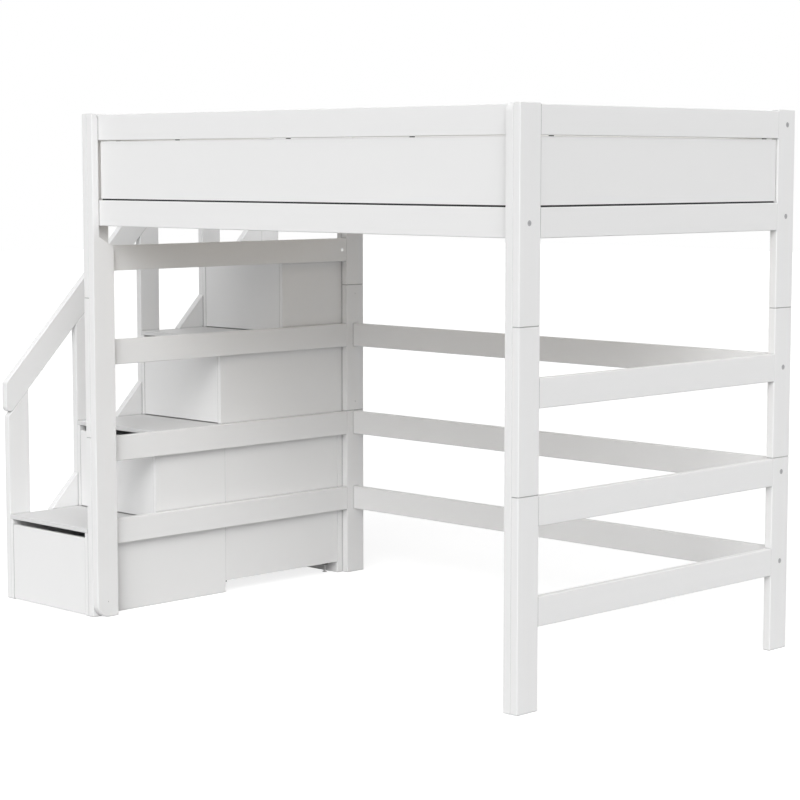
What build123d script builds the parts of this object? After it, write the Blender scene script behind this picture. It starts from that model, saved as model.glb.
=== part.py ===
"""Loft bed with a drawer staircase at its left end.

Millimetres, +Z up. X runs along the bed, from the staircase to the free gable. Y runs
from the open front to the back. The origin is on the floor, under the middle of the
whole outline. The bed stands on four legs, each stacked from three sections. Two front
planks and the rails tie the gables together, and slats carry the mattress. The stair is
two drawer units and a low case between them, under four treads.
"""
import os

from build123d import *

os.makedirs("parts", exist_ok=True)

# Bed
bed_length = 2100
bed_width = 1370
bed_height = 1820
board_t = 28
board_w = 93
board_ease = 2
rail_h = 91
end_bevel = 2

# Leg sections and the heights of the rails' undersides
lower_joint = 658
upper_joint = 1163
lower_rail_level = 258
middle_rail_level = 563
upper_rail_level = 917
tie_rail_level = 1258
bed_rail_level = 1422
top_rail_drop = 4

# Front planks, full height, cut back to a narrow neck beside the front rails
plank_t = 30
neck_depth = 29
neck_drop = 38
shoulder_drop = 38
neck_fillet = 50
shoulder_fillet = 26

# Guard panels: a tongue holds the lower edge, and flat pegs hold the upper edge
panel_t = 16
panel_end_gap = 6
panel_top_gap = 3
panel_bottom_gap = 6
tongue_t = 6
tongue_seat = 8
peg_t = 6
peg_w = 17
peg_seat = 12
peg_pitch = 566
peg_inset = 60

# Way in at the head of the stair
entry_width = 400

# Fasteners
fit = 0.2
bolt_r = 4
bolt_head_r = 8.5
bolt_head_h = 3
bolt_recess = 4
socket_size = 3
socket_depth = 2
nut_r = 6.5
nut_length = 20
nut_inset = 38
tie_nut_inset = 24
dowel_w = 40
dowel_t = 10
dowel_length = 80
pin_hole_r = 2
pin_hole_depth = 15
pin_offset = 35
plank_screw_height = 56

# Slatted base
ledge_w = 28
ledge_h = 30
ledge_rise = 8
slat_w = 93
slat_t = 18
slat_count = 16
slat_clearance = 3

# Stair
stair_width = 480
sheet_t = 16
sheet_ease = 1.5
lower_steps = 2
upper_steps = 2
first_rise = 322
rise = 332
unit_overlap = 19
finger_gap = 20
gusset_run = 126
gusset_relief = 6
floor_gap = 3
lowest_shelf = 14
case_clearance = 45
back_board_t = 28

# Handrail and its stiles
handrail_w = 93
handrail_start = 696
handrail_nose = 8
handrail_round = 18

# Drawers
front_gap = 1.5
box_t = 12
box_height = 210
box_side_gap = 2
box_back_gap = 4
glide = 0.3

# Levelling feet under the low case
foot_inset = 50
foot_back_inset = 25
foot_disc_r = 9
foot_disc_h = 4
foot_stem_r = 4
foot_cup_r = 17
foot_cup_h = 13

# Places that follow from the sizes
steps = lower_steps + upper_steps
stile_left = -(board_t + stair_width + bed_length) / 2
stair_left = stile_left + board_t
bed_left = stair_left + stair_width
bed_right = bed_left + bed_length
inner_left = bed_left + board_t
inner_right = bed_right - board_t
bed_front = (handrail_nose - bed_width) / 2
bed_back = bed_front + bed_width
post_front = bed_front + board_w / 2
post_back = bed_back - board_w / 2
between_front = bed_front + board_w
between_back = bed_back - board_w
rail_front = bed_front + neck_depth + board_t / 2
rail_back = bed_back - neck_depth - board_t / 2
gable_left = bed_left + board_t / 2
gable_right = bed_right - board_t / 2
stile_x = stile_left + board_t / 2
top_rail_level = bed_height - top_rail_drop - rail_h
guard_top = bed_height - top_rail_drop
bed_rail_top = bed_rail_level + rail_h
gable_rail_levels = (lower_rail_level, middle_rail_level, upper_rail_level)
neck_foot = bed_rail_level - neck_drop
bolt_reach = nut_inset - nut_r - fit
tie_reach = tie_nut_inset - nut_r - fit
entry_back = between_back
entry_front = entry_back - entry_width
entry_post = entry_front - board_w / 2
guard_back = entry_front - board_w
going = (bed_width - board_w) / steps
slope = rise / going
stair_mid = (stair_left + bed_left) / 2
bay_left = stair_left + sheet_t
bay_right = bed_left - sheet_t
back_board_back = bed_front + going * steps
back_board_front = back_board_back - back_board_t
upper_back = back_board_back
unit_split = bed_front + going * lower_steps + unit_overlap
rear_guard = bed_back - board_t / 2


def step_front(k):
    """Front of step k, counted from 1."""
    return bed_front + going * (k - 1)


def tread_top(k):
    """Upper face of tread k."""
    return first_rise + rise * (k - 1)


def handrail_under(y):
    """Height of the handrail's lower edge."""
    return handrail_start + slope * (y - bed_front)


seat = tread_top(lower_steps)
case_top = seat
front_bolts = [(rail_front, bed_rail_level + rail_h / 2)]
back_bolt_levels = (*gable_rail_levels, bed_rail_level, top_rail_level)
back_bolts = [(rail_back, level + rail_h / 2) for level in back_bolt_levels]
rail_bolts = front_bolts + back_bolts
tie_height = tie_rail_level + rail_h / 2
tie_ends = ((between_front, 1, nut_inset, bolt_reach), (between_back, -1, tie_nut_inset, tie_reach))
leg_middles = [(x, y) for x in (gable_left, gable_right) for y in (post_front, post_back)]


def save(piece, name):
    """Names a finished piece and writes its file."""
    piece.part.label = name
    export_step(piece.part, f"parts/{name}.step")


def drill(radius, depth, outward, spots):
    """Round holes into the piece being built, from spots on a face that looks outward."""
    with Locations(*[Plane(origin=spot, z_dir=outward) for spot in spots]):
        Hole(radius=radius, depth=depth)


def about(middle, width):
    """The two faces of a board, or of a slot in it, about its middle plane."""
    return (middle - width / 2, middle + width / 2)


def block(x_span, y_span, z_span, mode=Mode.ADD):
    """A block between three pairs of faces, added to the piece being built or cut from it."""
    with BuildSketch(Plane.XY.offset(z_span[0])) as footprint:
        with Locations((sum(x_span) / 2, sum(y_span) / 2)):
            Rectangle(x_span[1] - x_span[0], y_span[1] - y_span[0])
    extrude(footprint.sketch, amount=z_span[1] - z_span[0], mode=mode)


# Legs
def dowel_slot(x, y, joint):
    """Room for half of the flat dowel that crosses a joint of the leg sections."""
    block(about(x, dowel_t), about(y, dowel_w), about(joint, dowel_length), Mode.SUBTRACT)


def leg(name, side, y, bottom, top, bolts, joint, tie=0):
    """One leg section: side is -1 on the stair's gable and 1 on the free gable."""
    x = gable_right if side > 0 else gable_left
    with BuildPart() as section:
        with BuildSketch(Plane.XY.offset(bottom)) as outline:
            with Locations((x, y)):
                Rectangle(board_t, board_w)
            chamfer(outline.vertices(), board_ease)
        extrude(amount=top - bottom)
        chamfer(section.faces().filter_by(Axis.Z).edges(), end_bevel)
        outside = [(x + side * board_t / 2, bolt_y, z) for bolt_y, z in bolts]
        if outside:
            drill(bolt_r + fit, board_t, (side, 0, 0), outside)
            drill(bolt_head_r + fit, bolt_recess, (side, 0, 0), outside)
        dowel_slot(x, y, joint)
        if tie:
            drill(bolt_r, board_w / 2, (0, tie, 0), [(x, y + tie * board_w / 2, tie_height)])
    save(section, name)


def within(bolts, bottom, top):
    """The bolts whose heights lie in one leg section."""
    return [spot for spot in bolts if bottom < spot[1] < top]


for side, end in ((-1, "left"), (1, "right")):
    for y, face, bolts in ((post_front, "front", front_bolts), (post_back, "back", back_bolts)):
        tie = 0
        if side < 0:
            tie = 1 if face == "front" else -1
        leg(f"bottom_leg_{face}_{end}", side, y, 0, lower_joint,
            within(bolts, 0, lower_joint), lower_joint)
        leg(f"top_leg_{face}_{end}", side, y, upper_joint, bed_height,
            within(bolts, upper_joint, bed_height), upper_joint, tie)

with BuildPart() as middle_legs:
    with BuildSketch(Plane.XY.offset(lower_joint)) as outline:
        with Locations(*leg_middles):
            Rectangle(board_t, board_w)
        chamfer(outline.vertices(), board_ease)
    extrude(amount=upper_joint - lower_joint)
    chamfer(middle_legs.faces().filter_by(Axis.Z).edges(), end_bevel)
    for x, side in ((gable_left, -1), (gable_right, 1)):
        outside = [(x + side * board_t / 2, y, z) for y, z in within(back_bolts, lower_joint, upper_joint)]
        drill(bolt_r + fit, board_t, (side, 0, 0), outside)
        drill(bolt_head_r + fit, bolt_recess, (side, 0, 0), outside)
        for y in (post_front, post_back):
            dowel_slot(x, y, lower_joint)
            dowel_slot(x, y, upper_joint)
            pins = [(x - side * board_t / 2, y, z)
                    for z in (lower_joint + pin_offset, upper_joint - pin_offset)]
            drill(pin_hole_r, pin_hole_depth, (-side, 0, 0), pins)
save(middle_legs, "middle_legs")

# Flat dowels that line up the leg sections
with BuildPart() as leg_dowels:
    for x, y in leg_middles:
        for joint in (lower_joint, upper_joint):
            block(about(x, dowel_t), about(y, dowel_w), about(joint, dowel_length))
save(leg_dowels, "leg_dowels")


# Front planks
def front_plank(name, x):
    """Inner front plank: its upper part is a neck that leaves room for the front rails."""
    shoulder = (between_front, neck_foot - shoulder_drop)
    neck = (bed_front + neck_depth, neck_foot)
    with BuildPart() as plank:
        with BuildSketch(Plane.YZ.offset(x)) as outline:
            with BuildLine():
                Polyline((bed_front, 0), (bed_front, bed_height), (neck[0], bed_height), neck,
                         shoulder, (between_front, 0), close=True)
            make_face()
            fillet(outline.vertices().sort_by_distance((x, *neck))[0], neck_fillet)
            fillet(outline.vertices().group_by(Axis.Y)[-1].sort_by(Axis.Z)[-1], shoulder_fillet)
        extrude(amount=plank_t)
        chamfer(plank.faces().filter_by(Axis.X).edges(), board_ease)
        side = 1 if x < 0 else -1
        face = x + plank_t if side > 0 else x
        drill(pin_hole_r, pin_hole_depth, (side, 0, 0), [(face, post_front, plank_screw_height)])
    save(plank, name)


front_plank("front_plank_left", inner_left)
front_plank("front_plank_right", inner_right - plank_t)


# Guard panels: spans, tongues and pegs, each as a pair of faces in X and a pair in Y
panel_bottom = bed_rail_top + panel_bottom_gap
panel_top = top_rail_level - panel_top_gap
bed_middle = (bed_left + bed_right) / 2


def inset(low, high, gap):
    """A span drawn in at both ends."""
    return (low + gap, high - gap)


def lengthwise(x_span, y, stations):
    """Panel, tongue and pegs of a guard that runs along X."""
    pegs = [(about(x, peg_w), about(y, peg_t)) for x in stations]
    return (x_span, about(y, panel_t)), (x_span, about(y, tongue_t)), pegs


def crosswise(x, y_span, stations):
    """Panel, tongue and pegs of a guard that runs along Y."""
    pegs = [(about(x, peg_t), about(y, peg_w)) for y in stations]
    return (about(x, panel_t), y_span), (about(x, tongue_t), y_span), pegs


long_stations = (bed_middle - peg_pitch, bed_middle, bed_middle + peg_pitch)
front_guard = lengthwise(inset(inner_left + plank_t, inner_right - plank_t, panel_end_gap),
                         rail_front, long_stations)
back_guard = lengthwise(inset(inner_left, inner_right, panel_end_gap), rail_back, long_stations)
right_guard = crosswise(gable_right, inset(between_front, between_back, panel_end_gap),
                        inset(between_front, between_back, peg_inset))
left_guard = crosswise(gable_left, inset(between_front, guard_back, panel_end_gap),
                       inset(between_front, guard_back, peg_inset))

# Guard around the platform at the head of the stair
last_stile = step_front(steps + 1)
side_guard_front = step_front(steps) + board_w
rear_guard_right = bed_left - board_t
side_guard = crosswise(stile_x, inset(side_guard_front, last_stile, panel_end_gap),
                       [(side_guard_front + last_stile) / 2])
end_guard = lengthwise(inset(stair_left, rear_guard_right, panel_end_gap), rear_guard,
                       [(stair_left + rear_guard_right) / 2])


def tongue_groove(guard):
    """Groove for a guard's tongue, in the upper face of the rail below the panel."""
    block(*guard[1], (bed_rail_top - tongue_seat, bed_rail_top), Mode.SUBTRACT)


def peg_mortises(guard):
    """Mortises for a guard's pegs, in the lower face of the rail above the panel."""
    for spans in guard[2]:
        block(*spans, (top_rail_level, top_rail_level + peg_seat), Mode.SUBTRACT)


# Rails of the gables
def gable_rails(name, x, undersides, back=between_back, grooved=None, mortised=None, tied=False):
    """Boards that run along Y between the legs of one gable, flush with them."""
    with BuildPart() as rails:
        with BuildSketch(Plane.XZ.offset(-back)) as outline:
            with Locations(*[(x, z + rail_h / 2) for z in undersides]):
                Rectangle(board_t, rail_h)
            chamfer(outline.vertices(), board_ease)
        extrude(amount=back - between_front)
        if grooved:
            tongue_groove(grooved)
        if mortised:
            peg_mortises(mortised)
        if tied:
            for end, way, inset_along, _ in tie_ends:
                drill(bolt_r, inset_along, (0, -way, 0), [(x, end, tie_height)])
                drill(nut_r, nut_length + fit, (1, 0, 0),
                      [(x + board_t / 2, end + way * inset_along, tie_height)])
    save(rails, name)


gable_rails("gable_rails_left", gable_left, gable_rail_levels)
gable_rails("gable_rails_right", gable_right, gable_rail_levels)
gable_rails("tie_rail", gable_left, [tie_rail_level], tied=True)
gable_rails("bed_rail_left", gable_left, [bed_rail_level], grooved=left_guard)
gable_rails("bed_rail_right", gable_right, [bed_rail_level], grooved=right_guard)
gable_rails("top_rail_left", gable_left, [top_rail_level], back=guard_back, mortised=left_guard)
gable_rails("top_rail_right", gable_right, [top_rail_level], mortised=right_guard)


# Rails of the long sides
def long_rails(name, y, undersides, bolted=True, grooved=None, mortised=None):
    """Boards along X between the gables, with bolt bores and cross holes at both ends."""
    heights = [level + rail_h / 2 for level in undersides]
    with BuildPart() as rails:
        with BuildSketch(Plane.YZ.offset(inner_left)) as outline:
            with Locations(*[(y, z) for z in heights]):
                Rectangle(board_t, rail_h)
            chamfer(outline.vertices(), board_ease)
        extrude(amount=inner_right - inner_left)
        if grooved:
            tongue_groove(grooved)
        if mortised:
            peg_mortises(mortised)
        if bolted:
            drill(bolt_r, nut_inset, (-1, 0, 0), [(inner_left, y, z) for z in heights])
            drill(bolt_r, nut_inset, (1, 0, 0), [(inner_right, y, z) for z in heights])
            nuts = [(x, y + board_t / 2, z) for z in heights
                    for x in (inner_left + nut_inset, inner_right - nut_inset)]
            drill(nut_r, nut_length + fit, (0, 1, 0), nuts)
    save(rails, name)


long_rails("lower_back_rails", rail_back, gable_rail_levels)
long_rails("bed_rail_back", rail_back, [bed_rail_level], grooved=back_guard)
long_rails("top_rail_back", rail_back, [top_rail_level], mortised=back_guard)
long_rails("bed_rail_front", rail_front, [bed_rail_level], grooved=front_guard)
long_rails("top_rail_front", rail_front, [top_rail_level], bolted=False, mortised=front_guard)

# Post beside the way in
with BuildPart() as entry_post_board:
    with BuildSketch(Plane.XY.offset(bed_rail_top)) as outline:
        with Locations((gable_left, entry_post)):
            Rectangle(board_t, board_w)
        chamfer(outline.vertices(), board_ease)
    extrude(amount=bed_height - bed_rail_top)
    chamfer(entry_post_board.faces().filter_by(Axis.Z).edges(), end_bevel)
save(entry_post_board, "entry_post")


# Guard panels
def guard_panel(guard):
    """A flat panel between two rails, with its groove and its mortises."""
    panel, tongue, pegs = guard
    block(*panel, (panel_bottom, panel_top))
    block(*tongue, (panel_bottom, panel_bottom + tongue_seat), Mode.SUBTRACT)
    for spans in pegs:
        block(*spans, (panel_top - peg_seat, panel_top), Mode.SUBTRACT)


with BuildPart() as guard_panel_front:
    guard_panel(front_guard)
save(guard_panel_front, "guard_panel_front")

with BuildPart() as guard_panel_back:
    guard_panel(back_guard)
save(guard_panel_back, "guard_panel_back")

with BuildPart() as guard_panel_right:
    guard_panel(right_guard)
save(guard_panel_right, "guard_panel_right")

with BuildPart() as guard_panel_left:
    guard_panel(left_guard)
save(guard_panel_left, "guard_panel_left")

with BuildPart() as platform_guard_panels:
    guard_panel(side_guard)
    guard_panel(end_guard)
save(platform_guard_panels, "platform_guard_panels")

# Rails of the platform's guard, and the rail under the rear edge of the platform
rear_guard_levels = (tread_top(steps) - sheet_t - rail_h, bed_rail_level, top_rail_level)
with BuildPart() as platform_guard_rails:
    with BuildSketch(Plane.XZ.offset(-last_stile)) as side_outline:
        with Locations(*[(stile_x, z + rail_h / 2) for z in rear_guard_levels[1:]]):
            Rectangle(board_t, rail_h)
        chamfer(side_outline.vertices(), board_ease)
    extrude(amount=last_stile - side_guard_front)
    with BuildSketch(Plane.YZ.offset(stair_left)) as rear_outline:
        with Locations(*[(rear_guard, z + rail_h / 2) for z in rear_guard_levels]):
            Rectangle(board_t, rail_h)
        chamfer(rear_outline.vertices(), board_ease)
    extrude(amount=rear_guard_right - stair_left)
    for platform_guard in (side_guard, end_guard):
        tongue_groove(platform_guard)
        peg_mortises(platform_guard)
save(platform_guard_rails, "platform_guard_rails")

# Tongues and pegs of all the guard panels
with BuildPart() as panel_pegs:
    for _, tongue, pegs in (front_guard, back_guard, right_guard, left_guard, side_guard, end_guard):
        block(*tongue, (bed_rail_top - tongue_seat, panel_bottom + tongue_seat))
        for spans in pegs:
            block(*spans, (panel_top - peg_seat, top_rail_level + peg_seat))
save(panel_pegs, "panel_pegs")

# Slatted base
ledge_bottom = bed_rail_level + ledge_rise
ledge_front = rail_front + board_t / 2 + ledge_w / 2
ledge_back = rail_back - board_t / 2 - ledge_w / 2
with BuildPart() as slat_ledges:
    with BuildSketch(Plane.YZ.offset(inner_left + plank_t)):
        with Locations(*[(y, ledge_bottom + ledge_h / 2) for y in (ledge_front, ledge_back)]):
            Rectangle(ledge_w, ledge_h)
    extrude(amount=inner_right - inner_left - 2 * plank_t)
save(slat_ledges, "slat_ledges")

slat_zone = inner_right - inner_left - 2 * plank_t - slat_w
slat_pitch = slat_zone / (slat_count - 1)
slat_length = rail_back - rail_front - board_t - 2 * slat_clearance
with BuildPart() as slats:
    with BuildSketch(Plane.XY.offset(ledge_bottom + ledge_h)):
        with Locations((bed_middle, (rail_front + rail_back) / 2)):
            with GridLocations(slat_pitch, 0, slat_count, 1):
                Rectangle(slat_w, slat_length)
    extrude(amount=slat_t)
save(slats, "slats")

# Bolts with recessed round heads, and studs of the tie rail
head_places = ((bed_left, 1), (bed_right, -1))
with BuildPart() as bolts:
    for outside, way in head_places:
        seat_x = outside + way * bolt_recess
        with BuildSketch(Plane.YZ.offset(seat_x)):
            with Locations(*rail_bolts):
                Circle(bolt_head_r)
        extrude(amount=-way * bolt_head_h)
        with BuildSketch(Plane.YZ.offset(seat_x)):
            with Locations(*rail_bolts):
                Circle(bolt_r)
        extrude(amount=way * (board_t - bolt_recess + bolt_reach))
        with BuildSketch(Plane.YZ.offset(seat_x - way * bolt_head_h)):
            with Locations(*rail_bolts):
                RegularPolygon(socket_size, 6)
        extrude(amount=way * socket_depth, mode=Mode.SUBTRACT)
    for end, way, _, reach in tie_ends:
        with BuildSketch(Plane.XZ.offset(-end + way * board_w / 2)):
            with Locations((gable_left, tie_height)):
                Circle(bolt_r)
        extrude(amount=-way * (board_w / 2 + reach))
save(bolts, "rail_bolts")

# Barrel nuts, flush with the rails
with BuildPart() as nuts:
    nut_columns = (inner_left + nut_inset, inner_right - nut_inset)
    for rail_y in (rail_front, rail_back):
        heights = [z for y, z in rail_bolts if y == rail_y]
        with BuildSketch(Plane.XZ.offset(-rail_y - board_t / 2)):
            with Locations(*[(x, z) for x in nut_columns for z in heights]):
                Circle(nut_r)
        extrude(amount=nut_length)
    with BuildSketch(Plane.YZ.offset(inner_left)):
        with Locations(*[(end + way * inset_along, tie_height) for end, way, inset_along, _ in tie_ends]):
            Circle(nut_r)
    extrude(amount=-nut_length)
save(nuts, "barrel_nuts")


# Stair: side panels of the drawer units
def unit_side_outline(first, last, base, back):
    """Stepped outline of a unit that carries treads first to last, as (y, z) points."""
    points = [(step_front(first), base)]
    for k in range(first, last + 1):
        points.append((step_front(k), tread_top(k) - sheet_t))
        if k < last:
            points.append((step_front(k + 1), tread_top(k) - sheet_t))
    return points + [(back, tread_top(last) - sheet_t), (back, base)]


def unit_sides(name, points):
    """The outer and inner side panel of one unit."""
    with BuildPart() as sides:
        for x in (stair_left, bay_right):
            with BuildSketch(Plane.YZ.offset(x)):
                with BuildLine():
                    Polyline(*points, close=True)
                make_face()
            extrude(amount=sheet_t)
        seam = sides.edges().filter_by(Axis.Z).group_by(Axis.Y)[-1]
        chamfer(seam, sheet_ease)
    save(sides, name)


unit_sides("lower_unit_sides", unit_side_outline(1, lower_steps, 0, unit_split))
unit_sides("upper_unit_sides", unit_side_outline(lower_steps + 1, steps, seat, upper_back))


def bay_board(bottom, front, back, thickness=sheet_t):
    """A level board between the side panels."""
    with BuildSketch(Plane.XY.offset(bottom)) as board:
        with Locations((stair_mid, (front + back) / 2)):
            Rectangle(bay_right - bay_left, back - front)
    extrude(board.sketch, amount=thickness)


def unit_boards(name, first, last, base, back):
    """Shelves under the drawers of one unit, and its back panel."""
    with BuildPart() as boards:
        for k in range(first, last + 1):
            level = base if k == first else tread_top(k - 1) - sheet_t
            front = step_front(k) + (sheet_t + front_gap if k == first else 0)
            bay_board(level, front, back - sheet_t)
        bay_board(base, back - sheet_t, back, tread_top(last) - sheet_t - base)
    save(boards, name)


unit_boards("lower_unit_shelves", 1, lower_steps, lowest_shelf, unit_split)
unit_boards("upper_unit_shelves", lower_steps + 1, steps, seat, upper_back)

# Low case behind the lower unit, held above the floor
with BuildPart() as rear_case:
    case_depth = back_board_front - unit_split
    case_middle = (unit_split + back_board_front) / 2
    for x in (stair_left, bay_right):
        with BuildSketch(Plane.YZ.offset(x)):
            with Locations((case_middle, (case_clearance + case_top) / 2)):
                Rectangle(case_depth, case_top - case_clearance)
        extrude(amount=sheet_t)
    bay_board(case_clearance, unit_split, back_board_front)
    bay_board(case_top - sheet_t, unit_split, back_board_front)
    outer_corners = rear_case.edges().filter_by(Axis.Z).filter_by(
        lambda edge: edge.center().X < bay_left - sheet_t / 2 or edge.center().X > bay_right + sheet_t / 2)
    chamfer(outer_corners, sheet_ease)
save(rear_case, "rear_case")

with BuildPart() as back_board:
    with BuildSketch(Plane.XZ.offset(-back_board_back)):
        with Locations((stair_mid, case_top / 2)):
            Rectangle(stair_width, case_top)
    extrude(amount=back_board_t)
    chamfer(back_board.faces().filter_by(Axis.X).edges(), end_bevel)
save(back_board, "stair_back_board")

foot_rows = (unit_split + foot_back_inset, back_board_front - foot_back_inset)
foot_spots = [(x, y) for x in (stair_left + foot_inset, bed_left - foot_inset) for y in foot_rows]
with BuildPart() as feet:
    for spot in foot_spots:
        with BuildSketch(Plane.XZ) as half:
            with BuildLine():
                Polyline((0, 0), (foot_disc_r, 0), (foot_disc_r, foot_disc_h / 2),
                         (foot_stem_r, foot_disc_h),
                         (foot_stem_r, case_clearance - foot_cup_h),
                         (foot_cup_r, case_clearance - foot_cup_h),
                         (foot_cup_r, case_clearance), (0, case_clearance), close=True)
            make_face()
        with Locations(spot):
            add(revolve(half.sketch, axis=Axis.Z, mode=Mode.PRIVATE))
save(feet, "levelling_feet")


# Treads
def tread(k):
    """One tread over the full width of the stair, resting on the side panels."""
    back = step_front(k + 1)
    if k == lower_steps:
        back = unit_split
    if k == steps:
        back = bed_back - board_t
    depth = back - step_front(k)
    with BuildPart() as board:
        with BuildSketch(Plane.YZ.offset(stair_left)) as outline:
            with Locations((step_front(k) + depth / 2, tread_top(k) - sheet_t / 2)):
                Rectangle(depth, sheet_t)
            chamfer(outline.vertices(), sheet_ease)
        extrude(amount=stair_width)
        if k == steps:
            block((rear_guard_right, bed_left), (between_back, back),
                  (tread_top(k) - sheet_t, tread_top(k)), Mode.SUBTRACT)
    save(board, f"tread_{k}")


for k in range(1, steps + 1):
    tread(k)


# Drawers
def drawer(k):
    """Front and box of the drawer behind riser k."""
    shelf = {1: lowest_shelf, lower_steps + 1: seat}.get(k, tread_top(k - 1) - sheet_t) + sheet_t
    front_bottom = (tread_top(k - 1) if k > 1 else 0) + floor_gap
    front_top = tread_top(k) - sheet_t - finger_gap
    back = (unit_split if k <= lower_steps else upper_back) - sheet_t - box_back_gap
    front_width = bay_right - bay_left - 2 * front_gap
    box_width = bay_right - bay_left - 2 * box_side_gap
    front_y = step_front(k)
    with BuildPart() as front:
        with BuildSketch(Plane.XZ.offset(-front_y)):
            with Locations((stair_mid, (front_bottom + front_top) / 2)):
                Rectangle(front_width, front_top - front_bottom)
        extrude(amount=-sheet_t)
        chamfer(front.faces().sort_by(Axis.Y)[0].edges(), sheet_ease)
    save(front, f"drawer_front_{k}")
    with BuildPart() as box:
        depth = back - front_y - sheet_t
        with BuildSketch(Plane.XY.offset(shelf + glide)):
            with Locations((stair_mid, front_y + sheet_t + depth / 2)):
                Rectangle(box_width, depth)
        extrude(amount=box_height)
        offset(amount=-box_t, openings=box.faces().sort_by(Axis.Z)[-1])
    save(box, f"drawer_box_{k}")


for k in range(1, steps + 1):
    drawer(k)


# Stiles, handrail and gussets: the last stile has a fellow beside the bed's back leg
def stile(k):
    """Outline of the stile at riser k: up to the handrail, or to the guard's top."""
    front = step_front(k)
    back = front + board_w
    tops = (handrail_under(front), handrail_under(back)) if k < steps else (guard_top, guard_top)
    return [(front, 0), (front, tops[0]), (back, tops[1]), (back, 0)]


with BuildPart() as stiles:
    for k in range(2, steps + 2):
        with BuildSketch(Plane.YZ.offset(stile_left)):
            with BuildLine():
                Polyline(*stile(k), close=True)
            make_face()
        extrude(amount=board_t)
    block((rear_guard_right, bed_left), (between_back, bed_back), (0, guard_top))
    chamfer(stiles.edges(), board_ease)
save(stiles, "stair_stiles")

with BuildPart() as newel:
    with BuildSketch(Plane.YZ.offset(stile_left)):
        with BuildLine():
            Polyline(*stile(1), close=True)
        make_face()
    extrude(amount=board_t)
    chamfer(newel.edges(), board_ease)
save(newel, "newel_post")

rail_rise = handrail_w * (1 + slope ** 2) ** 0.5
nose = bed_front - handrail_nose
rail_end = step_front(steps)
with BuildPart() as handrail:
    with BuildSketch(Plane.YZ.offset(stile_left)) as outline:
        with BuildLine():
            Polyline((nose, handrail_under(nose)), (nose, handrail_under(nose) + rail_rise),
                     (rail_end, handrail_under(rail_end) + rail_rise),
                     (rail_end, handrail_under(rail_end)), close=True)
        make_face()
        fillet(outline.vertices().group_by(Axis.Y)[0].sort_by(Axis.Z)[-1], handrail_round)
    extrude(amount=board_t)
    split(bisect_by=Plane.XY.offset(guard_top), keep=Keep.BOTTOM)
    flats = handrail.edges().filter_by(Axis.Y)
    ease = min([board_ease] + [flat.length / 3 for flat in flats])
    chamfer(handrail.faces().filter_by(Axis.X).edges(), ease)
save(handrail, "handrail")

with BuildPart() as gussets:
    for k in range(1, steps + 1):
        heel = step_front(k + 1)
        base = tread_top(k)
        with BuildSketch(Plane.YZ.offset(stile_left)):
            with BuildLine():
                Polyline((heel - gusset_run, base - sheet_t), (heel - gusset_relief, base - sheet_t),
                         (heel - gusset_relief, base), (heel, base + gusset_relief),
                         (heel, base + gusset_run * slope), (heel - gusset_run, base), close=True)
            make_face()
        extrude(amount=board_t)
    split(bisect_by=Plane.XY.offset(bed_rail_level), keep=Keep.BOTTOM)
    chamfer(gussets.faces().filter_by(Axis.X).edges(), sheet_ease)
save(gussets, "step_gussets")
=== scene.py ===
from math import cos, radians, sin

import bpy
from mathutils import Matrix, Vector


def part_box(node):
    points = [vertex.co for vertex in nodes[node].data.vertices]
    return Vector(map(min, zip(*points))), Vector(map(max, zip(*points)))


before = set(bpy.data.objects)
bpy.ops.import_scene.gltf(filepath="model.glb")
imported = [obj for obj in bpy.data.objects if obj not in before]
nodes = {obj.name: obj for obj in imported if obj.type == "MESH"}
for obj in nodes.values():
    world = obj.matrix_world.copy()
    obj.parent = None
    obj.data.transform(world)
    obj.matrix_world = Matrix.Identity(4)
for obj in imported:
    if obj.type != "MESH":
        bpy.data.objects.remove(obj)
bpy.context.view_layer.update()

# The bed is seen from its front right corner, just above the height of its deck.
# A long lens keeps the legs upright, and the stair stands at the far left end.
view_point = (5.6527, -5.5234, 1.6331)
tilt_down = 6
turn_left = 45
lens_mm = 100
film_mm = 36
camera = bpy.data.cameras.new("view")
camera.lens = lens_mm
camera.sensor_width = film_mm
camera.clip_end = 200
eye = bpy.data.objects.new("view", camera)
eye.location = view_point
eye.rotation_euler = (radians(90 - tilt_down), 0, radians(turn_left))
bpy.context.scene.collection.objects.link(eye)
bpy.context.scene.camera = eye


# The legs are solid pine boards, each stacked from three sections on hidden flat dowels.
# They are planed, eased along their edges and sprayed with a white satin lacquer, under
# which a little of the grain still lies.
class Flow:
    """A socket whose values can be added, subtracted, scaled and raised to a power."""

    def __init__(self, finish, socket):
        self.finish = finish
        self.socket = socket

    def math(self, operation, first, second):
        return self.finish.node("ShaderNodeMath", {"operation": operation}, {0: first, 1: second})

    def __add__(self, other):
        return self.math("ADD", self, other)

    def __radd__(self, other):
        return self.math("ADD", other, self)

    def __sub__(self, other):
        return self.math("SUBTRACT", self, other)

    def __rsub__(self, other):
        return self.math("SUBTRACT", other, self)

    def __mul__(self, other):
        return self.math("MULTIPLY", self, other)

    def __rmul__(self, other):
        return self.math("MULTIPLY", other, self)

    def __pow__(self, other):
        return self.math("POWER", self, other)


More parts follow.
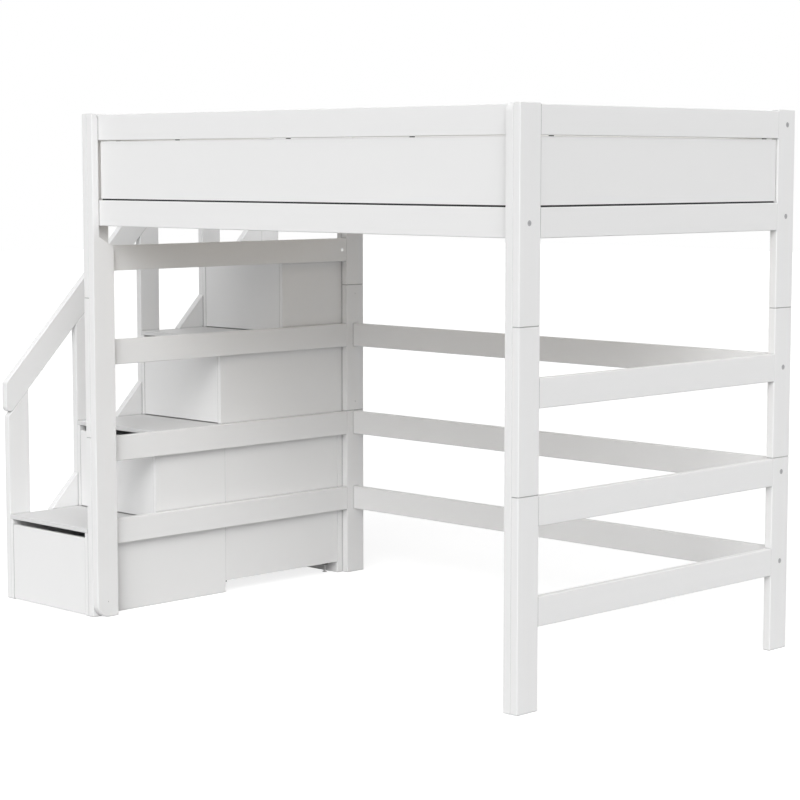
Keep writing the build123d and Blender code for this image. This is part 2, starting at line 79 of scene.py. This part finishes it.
class Finish:
    """A material under a maker's name, and the nodes that give it its look."""

    def __init__(self, name):
        self.material = bpy.data.materials.new(name)
        self.material.use_nodes = True
        self.tree = self.material.node_tree
        self.tree.nodes.clear()

    def node(self, kind, settings=None, sockets=None, output=0):
        """A node of that kind: settings first, then the values or links of its sockets."""
        made = self.tree.nodes.new(kind)
        for key, value in (settings or {}).items():
            setattr(made, key, value)
        for key, value in (sockets or {}).items():
            if isinstance(value, Flow):
                self.tree.links.new(value.socket, made.inputs[key])
            elif isinstance(value, tuple) and len(value) == 3 and made.inputs[key].type == "RGBA":
                made.inputs[key].default_value = (*value, 1)
            else:
                made.inputs[key].default_value = value
        return Flow(self, made.outputs[output])

    def place(self, stretch=(1, 1, 1)):
        """A point of the piece in metres, stretched along its three directions."""
        point = self.node("ShaderNodeTexCoord", output="Object")
        return self.node("ShaderNodeVectorMath", {"operation": "MULTIPLY"}, {0: point, 1: stretch})

    def mottle(self, scale, detail=2.0, stretch=(1, 1, 1), rough=0.5):
        """Soft noise from 0 to 1, scale spots to a metre."""
        return self.node("ShaderNodeTexNoise", {}, {
            "Vector": self.place(stretch), "Scale": scale, "Detail": detail, "Roughness": rough})

    def blend(self, share, first, second):
        """A colour between two others."""
        return self.node("ShaderNodeMix", {"data_type": "RGBA"},
                         {0: share, 6: first, 7: second}, output=2)

    def bump(self, height, depth, under=None):
        """A relief of that depth in metres."""
        sockets = {"Height": height, "Distance": depth, "Strength": 1.0}
        if under:
            sockets["Normal"] = under
        return self.node("ShaderNodeBump", {}, sockets)

    def painted_crease_shade(self, reach=0.007, depth=0.5):
        """Painted shade: 1 on open faces, and less in the narrow grooves between boards, by
        ambient occlusion.
        """
        open_air = self.node("ShaderNodeAmbientOcclusion", {"samples": 8}, {"Distance": reach},
                             output="AO")
        return (1.0 - depth) + depth * open_air

    def dimmed(self, colour, share):
        """A colour scaled by a number."""
        return self.node("ShaderNodeVectorMath", {"operation": "SCALE"},
                         {0: colour, "Scale": share})

    def close(self, surface):
        """Ends the nodes in the surface that they make."""
        end = self.tree.nodes.new("ShaderNodeOutputMaterial")
        self.tree.links.new(surface.socket, end.inputs["Surface"])
        return self.material


def coat(material, *names):
    """Gives whole nodes of the bed one finish."""
    for name in names:
        mesh = nodes[name].data
        mesh.materials.clear()
        mesh.materials.append(material)


lacquer_white = (0.81, 0.81, 0.81)
lacquer_shade = (0.785, 0.785, 0.785)
lacquer_ior = 1.46
# Width and strength of the painted shade lines at the joints of the legs.
joint_shade_width = 0.0032
joint_shade_strength = 0.35
upright = (1, 1, 0.04)


def lacquered_pine(name, stretch, joints=()):
    """White satin lacquer on planed pine, with painted shade in grooves and at joint heights."""
    finish = Finish(name)
    grain = finish.mottle(scale=60, detail=3, stretch=stretch)
    cloud = finish.mottle(scale=3.5)
    peel = finish.mottle(scale=900, detail=1)
    tone = finish.blend(cloud * 0.6 + grain * 0.4, lacquer_white, lacquer_shade)
    # share starts as painted shade: darker in narrow grooves, where ambient occlusion finds them.
    share = finish.painted_crease_shade()
    # Each joint height gets a thin band of painted shade, for the shadow in the V-groove there.
    for height in joints:
        level = finish.node("ShaderNodeSeparateXYZ", {}, {0: finish.place()}, output=2)
        line = finish.node("ShaderNodeMath", {"operation": "COMPARE"},
                           {0: level, 1: height, 2: joint_shade_width / 2})
        share = share * (1.0 - joint_shade_strength * line)
    tone = finish.dimmed(tone, share)
    relief = finish.bump(grain, depth=0.00004)
    relief = finish.bump(peel, depth=0.000012, under=relief)
    surface = finish.node("ShaderNodeBsdfPrincipled", {}, {
        "Base Color": tone, "Roughness": 0.34 + 0.12 * grain, "Normal": relief,
        "IOR": lacquer_ior})
    return finish.close(surface)


lower_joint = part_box("middle_legs")[0][2]
upper_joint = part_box("middle_legs")[1][2]
leg_lacquer = lacquered_pine("white lacquer on the legs", upright, (lower_joint, upper_joint))
coat(leg_lacquer, "bottom_leg_front_left", "bottom_leg_front_right",
     "bottom_leg_back_left", "bottom_leg_back_right", "middle_legs", "top_leg_front_left",
     "top_leg_front_right", "top_leg_back_left", "top_leg_back_right")

# The two front planks are full-height pine boards, screwed to the inside of the front legs.
# Their upper part is sawn back to a narrow neck, so that the front rails pass behind it.
upright_lacquer = lacquered_pine("white lacquer on upright pine", upright)
coat(upright_lacquer, "front_plank_left", "front_plank_right")

# The gable rails are pine boards between the legs, and the tie rail is one more of them.
# They are dowelled to the legs and finished with the same lacquer.
crosswise = (1, 0.04, 1)
crosswise_lacquer = lacquered_pine("white lacquer on crosswise pine", crosswise)
coat(crosswise_lacquer, "gable_rails_left", "gable_rails_right", "tie_rail", "bed_rail_left",
     "bed_rail_right", "top_rail_left", "top_rail_right")

# The long rails run from gable to gable and are bolted to the legs through barrel nuts.
# They are the longest boards of the bed, in the same lacquered pine.
lengthwise = (0.04, 1, 1)
lengthwise_lacquer = lacquered_pine("white lacquer on lengthwise pine", lengthwise)
coat(lengthwise_lacquer, "lower_back_rails", "bed_rail_front", "bed_rail_back",
     "top_rail_front", "top_rail_back")

# The post beside the way in is a short leg board that stands on the bed rail.
# It ends the top rail of the stair's gable.
coat(upright_lacquer, "entry_post")

# The guard panels are flat boards of fine fibre, sprayed white on all sides.
# They stand on a dark tongue in the rail below, and flat pegs hold them under the rail above.
def lacquered_board(name, gloss, light=lacquer_white, shade=lacquer_shade):
    """Satin lacquer over smooth fibreboard, with painted shade in the grooves between boards."""
    finish = Finish(name)
    cloud = finish.mottle(scale=2.5)
    peel = finish.mottle(scale=700, detail=2)
    # The colour is darkened by painted shade in the narrow grooves between boards.
    tone = finish.dimmed(finish.blend(cloud, light, shade), finish.painted_crease_shade())
    relief = finish.bump(peel, depth=0.000015)
    surface = finish.node("ShaderNodeBsdfPrincipled", {}, {
        "Base Color": tone, "Roughness": gloss + 0.1 * cloud, "Normal": relief,
        "IOR": lacquer_ior})
    return finish.close(surface)


panel_lacquer = lacquered_board("white lacquer on guard panels", gloss=0.33)
coat(panel_lacquer, "guard_panel_front", "guard_panel_back", "guard_panel_left",
     "guard_panel_right", "platform_guard_panels")

# The guard round the platform has the same boards as the bed's rails.
# Its rear boards run between the stair's outer stile and the post beside the bed's leg.
coat(lengthwise_lacquer, "platform_guard_rails")


# The slats are bare planed pine, laid across two ledges that are screwed to the bed rails.
# The wood is pale, with fine growth lines along each slat.
def bare_wood(name, stretch, pale, dark, roughness):
    """Bare wood with growth lines along one direction."""
    finish = Finish(name)
    lines = finish.mottle(scale=90, detail=4, stretch=stretch, rough=0.6)
    streak = finish.mottle(scale=9, detail=2, stretch=stretch)
    share = lines * 0.7 + streak * 0.3
    tone = finish.blend(share, pale, dark)
    relief = finish.bump(lines, depth=0.00012)
    surface = finish.node("ShaderNodeBsdfPrincipled", {}, {
        "Base Color": tone, "Roughness": roughness + 0.15 * lines, "Normal": relief})
    return finish.close(surface)


pine_pale = (0.80, 0.72, 0.60)
pine_dark = (0.70, 0.60, 0.47)
pine_rough = 0.55
slat_pine = bare_wood("bare pine slats", (1, 0.05, 1), pine_pale, pine_dark, pine_rough)
ledge_pine = bare_wood("bare pine ledges", (0.05, 1, 1), pine_pale, pine_dark, pine_rough)
coat(slat_pine, "slats")
coat(ledge_pine, "slat_ledges")

# Flat dowels of bare beech line up the leg sections, glued into slots in both ends.
# They are hidden once the bed stands.
beech = bare_wood("bare beech dowels", (1, 1, 0.1), (0.60, 0.42, 0.28), (0.42, 0.28, 0.18),
                  roughness=0.5)
coat(beech, "leg_dowels")


# A dark plastic tongue holds the lower edge of each guard panel in its rail, and short
# dark pegs hold the upper edge. Their near-black colour is painted shade for the shadow in
# the gaps above and below the panels, where they show as a fine dark line and small dark marks.
def moulded(name, colour, shade):
    """Matt moulded plastic."""
    finish = Finish(name)
    grit = finish.mottle(scale=1500, detail=2)
    dust = finish.mottle(scale=60, detail=2)
    tone = finish.blend(dust, colour, shade)
    surface = finish.node("ShaderNodeBsdfPrincipled", {}, {
        "Base Color": tone, "Roughness": 0.55 + 0.15 * grit,
        "Normal": finish.bump(grit, depth=0.00003)})
    return finish.close(surface)


tongue_plastic_painted_shade = moulded("dark plastic tongues and pegs",
                         (0.02, 0.02, 0.021), (0.035, 0.035, 0.035))
coat(tongue_plastic_painted_shade, "panel_pegs")


# The rail bolts are zinc-plated steel with a round head and a hexagon socket.
# Each head sits in a shallow recess of the leg and pulls on a barrel nut in the rail.
def zinc(name, light, shade, gloss):
    """Zinc plating with a fine spangle and tool marks."""
    finish = Finish(name)
    spangle = finish.mottle(scale=450, detail=3)
    cloud = finish.mottle(scale=120, detail=2)
    tone = finish.blend(spangle, light, shade)
    surface = finish.node("ShaderNodeBsdfPrincipled", {}, {
        "Base Color": tone, "Metallic": 1.0, "Roughness": gloss + 0.2 * cloud,
        "Normal": finish.bump(spangle, depth=0.00003)})
    return finish.close(surface)


plated_steel = zinc("zinc plated steel", (0.50, 0.50, 0.51), (0.36, 0.36, 0.37), gloss=0.34)
coat(plated_steel, "rail_bolts")

# The barrel nuts are drums of brighter zinc, flush with the rails they sit in.
# Only the two in the tie rail show, as pale discs in a fine ring.
bright_steel = zinc("bright zinc drums", (0.86, 0.86, 0.86), (0.78, 0.78, 0.78), gloss=0.5)
coat(bright_steel, "barrel_nuts")

# The stair's units are cases of lacquered fibreboard: stepped side panels, shelves under
# the drawers and a back. The low case behind them stands on four levelling feet.
case_lacquer = lacquered_board("white lacquer on stair cases", gloss=0.36)
coat(case_lacquer, "lower_unit_sides", "upper_unit_sides", "lower_unit_shelves",
     "upper_unit_shelves", "rear_case", "stair_back_board")

# The treads are separate boards that cover the side panels, with softened edges.
# Their lacquer is made greyer than the boards round them, as painted shade on their upward faces.
tread_light_with_painted_shade = (0.68, 0.68, 0.68)
tread_dark_with_painted_shade = (0.65, 0.65, 0.65)
tread_lacquer_with_painted_shade = lacquered_board("white lacquer on treads", 0.38, tread_light_with_painted_shade, tread_dark_with_painted_shade)
coat(tread_lacquer_with_painted_shade, "tread_1", "tread_2", "tread_3", "tread_4")

# The drawer fronts have no handles: fingers reach over them through a slot.
# Each front is screwed to a box of thin white board that slides on its shelf.
front_lacquer = lacquered_board("white lacquer on drawer fronts", gloss=0.34)
coat(front_lacquer, "drawer_front_1", "drawer_front_2", "drawer_front_3", "drawer_front_4")
box_lacquer = lacquered_board("white drawer board", gloss=0.45)
coat(box_lacquer, "drawer_box_1", "drawer_box_2", "drawer_box_3", "drawer_box_4")

# The newel, the stiles and the gussets are pine boards outside the stair's case.
# The stiles stop under the handrail, and a gusset stiffens each one above its tread.
# A post of the same board stands beside the bed's back leg.
coat(upright_lacquer, "newel_post", "stair_stiles", "step_gussets")

# The handrail is one long pine board at the slope of the steps.
# Its lower end is sawn upright and rounded at the upper corner, where the hand meets it.
handrail_lacquer = lacquered_pine("white lacquer on the handrail", (1, 0.08, 0.08))
coat(handrail_lacquer, "handrail")


# The levelling feet have a black moulded cup on a pale stem and disc, under the low case.
# Their plastic is matt, with a fine grit.
cup_bottom = 0.0318


def levelling_foot(name, cup, stem):
    """Matt plastic, dark above the stem."""
    finish = Finish(name)
    grit = finish.mottle(scale=1500, detail=2)
    level = finish.node("ShaderNodeSeparateXYZ", {}, {0: finish.place()}, output=2)
    above = finish.node("ShaderNodeMath", {"operation": "GREATER_THAN"}, {0: level, 1: cup_bottom})
    tone = finish.blend(above, stem, cup)
    surface = finish.node("ShaderNodeBsdfPrincipled", {}, {
        "Base Color": tone, "Roughness": 0.55 + 0.15 * grit,
        "Normal": finish.bump(grit, depth=0.00003)})
    return finish.close(surface)


foot_plastic = levelling_foot("black and grey moulded feet",
                              (0.025, 0.025, 0.026), (0.5, 0.5, 0.5))
coat(foot_plastic, "levelling_feet")


# The floor is a wide pale sheet, and the studio round it is white.
# The floor keeps a soft shadow under the bed.
class Studio(Finish):
    """The nodes of the surroundings, where what is seen differs from what lights."""

    def seen(self):
        """1 where the camera or a reflection looks, and 0 where light is gathered."""
        camera_ray, glossy_ray, clear_ray = [
            self.node("ShaderNodeLightPath", output=f"Is {kind} Ray")
            for kind in ("Camera", "Glossy", "Transmission")]
        return self.node("ShaderNodeMath", {"operation": "ADD", "use_clamp": True},
                         {0: camera_ray, 1: glossy_ray + clear_ray})


floor_size = 60
floor_bounce = 0.48
floor_seen = 0.35
floor_glow = 0.80
ground = Studio("pale floor")
bounce = ground.node("ShaderNodeBsdfDiffuse", {}, {"Color": (floor_bounce,) * 3})
shown = ground.node("ShaderNodeBsdfDiffuse", {}, {"Color": (floor_seen,) * 3})
glow = ground.node("ShaderNodeEmission", {}, {"Color": (1.0, 1.0, 1.0), "Strength": floor_glow})
shown = ground.node("ShaderNodeAddShader", {}, {0: shown, 1: glow})
ground.close(ground.node("ShaderNodeMixShader", {}, {0: ground.seen(), 1: bounce, 2: shown}))
half = floor_size / 2
sheet = bpy.data.meshes.new("floor")
sheet.from_pydata([(-half, -half, 0), (half, -half, 0), (half, half, 0), (-half, half, 0)], [],
                  [(0, 1, 2, 3)])
sheet.materials.append(ground.material)
floor = bpy.data.objects.new("floor", sheet)
bpy.context.scene.collection.objects.link(floor)

# The light is a white studio with one large soft panel, in front and to the right.
# It stands low, so the space under the slats is in soft shade towards its top.
light_all_round = 0.40
panel_light = 8.4
panel_focus = 16.0
panel_swing = 40
panel_lift = 33
room = bpy.data.worlds.new("studio")
room.use_nodes = True
bpy.context.scene.world = room


class Room(Studio):
    """The studio's own nodes."""

    def __init__(self, world):
        self.tree = world.node_tree
        self.tree.nodes.clear()

    def panel(self):
        """Light of the soft panel, swung from the front to the right and lifted."""
        swing, lift = radians(panel_swing), radians(panel_lift)
        heading = self.node("ShaderNodeTexCoord", output="Generated")
        middle = (sin(swing) * cos(lift), -cos(swing) * cos(lift), sin(lift))
        near = self.node("ShaderNodeVectorMath", {"operation": "DOT_PRODUCT"},
                         {0: heading, 1: middle}, output="Value")
        ahead = self.node("ShaderNodeMath", {"operation": "MAXIMUM"}, {0: near, 1: 0.0})
        return ahead ** panel_focus


air = Room(room)
walls = light_all_round + panel_light * air.panel()
strength = air.node("ShaderNodeMix", {"data_type": "FLOAT"}, {0: air.seen(), 2: walls, 3: 1.0})
sky = air.node("ShaderNodeBackground", {}, {"Color": (1.0, 1.0, 1.0), "Strength": strength})
edge = air.tree.nodes.new("ShaderNodeOutputWorld")
air.tree.links.new(sky.socket, edge.inputs["Surface"])

bpy.context.scene.view_settings.view_transform = "Standard"
